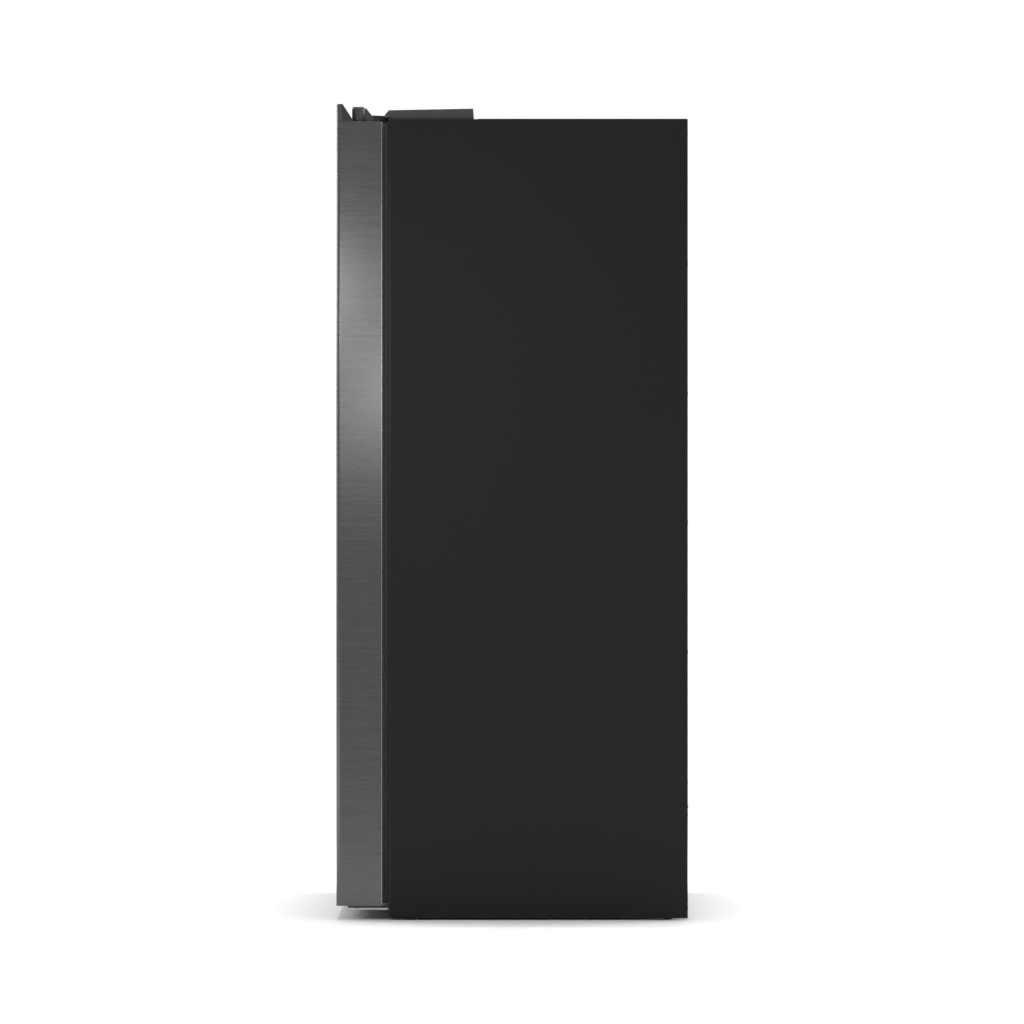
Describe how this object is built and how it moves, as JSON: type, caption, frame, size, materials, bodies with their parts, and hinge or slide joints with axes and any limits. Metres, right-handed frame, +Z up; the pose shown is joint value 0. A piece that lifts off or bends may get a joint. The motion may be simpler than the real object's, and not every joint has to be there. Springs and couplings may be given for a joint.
{
  "type": "side by side refrigerator",
  "caption": "Tall side by side refrigerator with two recessed-handle doors, door ice and water dispenser, shelves, drawers, bins and a rear machine compartment.",
  "frame": {"origin": "middle of the footprint on the floor, under the feet and rollers", "axes": "+X towards the fresh food side, +Y towards the back, +Z up; the doors face -Y"},
  "size_m": [0.911, 0.768, 1.783],
  "materials": {
    "dark_panel": "matte",
    "black_stainless": "satin",
    "black_frame": "satin",
    "galvanised": "satin",
    "foam": "matte",
    "white_liner": "gloss",
    "black_plastic": "matte",
    "hinge_plastic": "matte",
    "gasket_rubber": "matte",
    "handle_trim": "satin",
    "clear_bin": "gloss",
    "shelf_glass": "gloss",
    "hinge_steel": "satin",
    "compressor_black": "gloss",
    "fin_aluminium": "satin",
    "fan_plastic": "matte",
    "grey_plastic": "satin",
    "valve_blue": "satin",
    "panel_glass": "gloss",
    "light_lens": "gloss",
    "filter_white": "satin"
  },
  "bodies": {
    "cabinet": {"side_panel_right": "dark_panel", "side_panel_left": "dark_panel", "top_panel": "dark_panel", "back_panel": "galvanised", "base_frame": "galvanised", "cabinet_foam": "foam", "freezer_liner": "white_liner", "fridge_liner": "white_liner", "front_frame": "black_frame", "toe_grille": "black_plastic", "top_hinges": "hinge_steel", "hinge_covers": "hinge_plastic", "hinge_screws": "hinge_steel", "bottom_hinges": "hinge_steel", "leveling_feet": "black_plastic", "machine_cover": "galvanised", "compressor": "compressor_black", "condenser": "fin_aluminium", "drain_pan": "black_plastic", "water_valve": "valve_blue", "cord_gland": "black_plastic", "evaporator": "fin_aluminium", "evaporator_cover": "white_liner", "freezer_shelves": "shelf_glass", "ice_maker": "grey_plastic", "ice_bucket": "clear_bin", "air_tower": "white_liner", "fridge_shelves": "shelf_glass", "filter_housing": "grey_plastic", "interior_lights": "light_lens"},
    "freezer_door": {"freezer_door_skin": "black_stainless", "freezer_door_foam": "foam", "freezer_door_liner": "white_liner", "freezer_door_gasket": "gasket_rubber", "freezer_door_caps": "black_plastic", "freezer_door_handle": "handle_trim", "freezer_door_bins": "clear_bin", "dispenser_housing": "black_plastic", "ice_chute": "black_plastic", "dispenser_panel": "panel_glass"},
    "fridge_door": {"fridge_door_skin": "black_stainless", "fridge_door_foam": "foam", "fridge_door_liner": "white_liner", "fridge_door_gasket": "gasket_rubber", "fridge_door_caps": "black_plastic", "fridge_door_handle": "handle_trim", "fridge_door_bins": "clear_bin"},
    "condenser_fan": {"condenser_fan": "fan_plastic"},
    "evaporator_fan": {"evaporator_fan": "fan_plastic"},
    "auger": {"auger": "hinge_steel"},
    "freezer_drawer_upper": {"freezer_drawer_upper": "clear_bin"},
    "freezer_drawer_lower": {"freezer_drawer_lower": "clear_bin"},
    "crisper_upper": {"crisper_upper": "clear_bin"},
    "crisper_lower": {"crisper_lower": "clear_bin"},
    "water_filter": {"water_filter": "filter_white"},
    "rear_roller_left": {"rear_roller_left": "black_plastic"},
    "rear_roller_right": {"rear_roller_right": "black_plastic"},
    "ice_paddle": {"ice_paddle": "black_plastic"},
    "water_paddle": {"water_paddle": "black_plastic"},
    "drip_tray": {"drip_tray": "black_plastic"}
  },
  "joints": [
    {"name": "freezer_door_hinge", "type": "hinge", "parent": "cabinet", "child": "freezer_door", "pos_m": [-0.4315, -0.336, 0.9], "axis": [0, 0, -1], "range_deg": [0, 120]},
    {"name": "fridge_door_hinge", "type": "hinge", "parent": "cabinet", "child": "fridge_door", "pos_m": [0.4315, -0.336, 0.9], "axis": [0, 0, 1], "range_deg": [0, 120]},
    {"name": "freezer_drawer_upper_slide", "type": "slide", "parent": "cabinet", "child": "freezer_drawer_upper", "axis": [0, -1, 0], "range_m": [0, 0.15]},
    {"name": "freezer_drawer_lower_slide", "type": "slide", "parent": "cabinet", "child": "freezer_drawer_lower", "axis": [0, -1, 0], "range_m": [0, 0.15]},
    {"name": "crisper_upper_slide", "type": "slide", "parent": "cabinet", "child": "crisper_upper", "axis": [0, -1, 0], "range_m": [0, 0.15]},
    {"name": "crisper_lower_slide", "type": "slide", "parent": "cabinet", "child": "crisper_lower", "axis": [0, -1, 0], "range_m": [0, 0.15]},
    {"name": "ice_paddle_hinge", "type": "hinge", "parent": "freezer_door", "child": "ice_paddle", "pos_m": [-0.3255, -0.316, 1.285], "axis": [1, 0, 0], "range_deg": [0, 10], "stiffness_Nm_per_rad": 0.3},
    {"name": "water_paddle_hinge", "type": "hinge", "parent": "freezer_door", "child": "water_paddle", "pos_m": [-0.2255, -0.316, 1.285], "axis": [1, 0, 0], "range_deg": [0, 10], "stiffness_Nm_per_rad": 0.3},
    {"name": "drip_tray_slide", "type": "slide", "parent": "freezer_door", "child": "drip_tray", "axis": [0, -1, 0], "range_m": [0, 0.06]},
    {"name": "water_filter_turn", "type": "hinge", "parent": "cabinet", "child": "water_filter", "pos_m": [0.3605, 0, 1.648], "axis": [0, 1, 0], "range_deg": [0, 90]},
    {"name": "auger_spin", "type": "hinge", "parent": "cabinet", "child": "auger", "pos_m": [-0.241, 0, 1.475], "axis": [0, 1, 0], "continuous": true},
    {"name": "evaporator_fan_spin", "type": "hinge", "parent": "cabinet", "child": "evaporator_fan", "pos_m": [-0.241, 0.291, 1.2], "axis": [0, 1, 0], "continuous": true},
    {"name": "condenser_fan_spin", "type": "hinge", "parent": "cabinet", "child": "condenser_fan", "pos_m": [0.1235, 0.276, 0.125], "axis": [1, 0, 0], "continuous": true},
    {"name": "rear_roller_left_spin", "type": "hinge", "parent": "cabinet", "child": "rear_roller_left", "pos_m": [-0.43, 0.34, 0.022], "axis": [1, 0, 0], "continuous": true},
    {"name": "rear_roller_right_spin", "type": "hinge", "parent": "cabinet", "child": "rear_roller_right", "pos_m": [0.43, 0.34, 0.022], "axis": [1, 0, 0], "continuous": true}
  ],
  "couplings": [
    {"joint": "freezer_drawer_upper_slide", "follows": "freezer_door_hinge", "m_per_rad": 0.0716},
    {"joint": "freezer_drawer_lower_slide", "follows": "freezer_door_hinge", "m_per_rad": 0.0716},
    {"joint": "crisper_upper_slide", "follows": "fridge_door_hinge", "m_per_rad": 0.0716},
    {"joint": "crisper_lower_slide", "follows": "fridge_door_hinge", "m_per_rad": 0.0716}
  ]
}
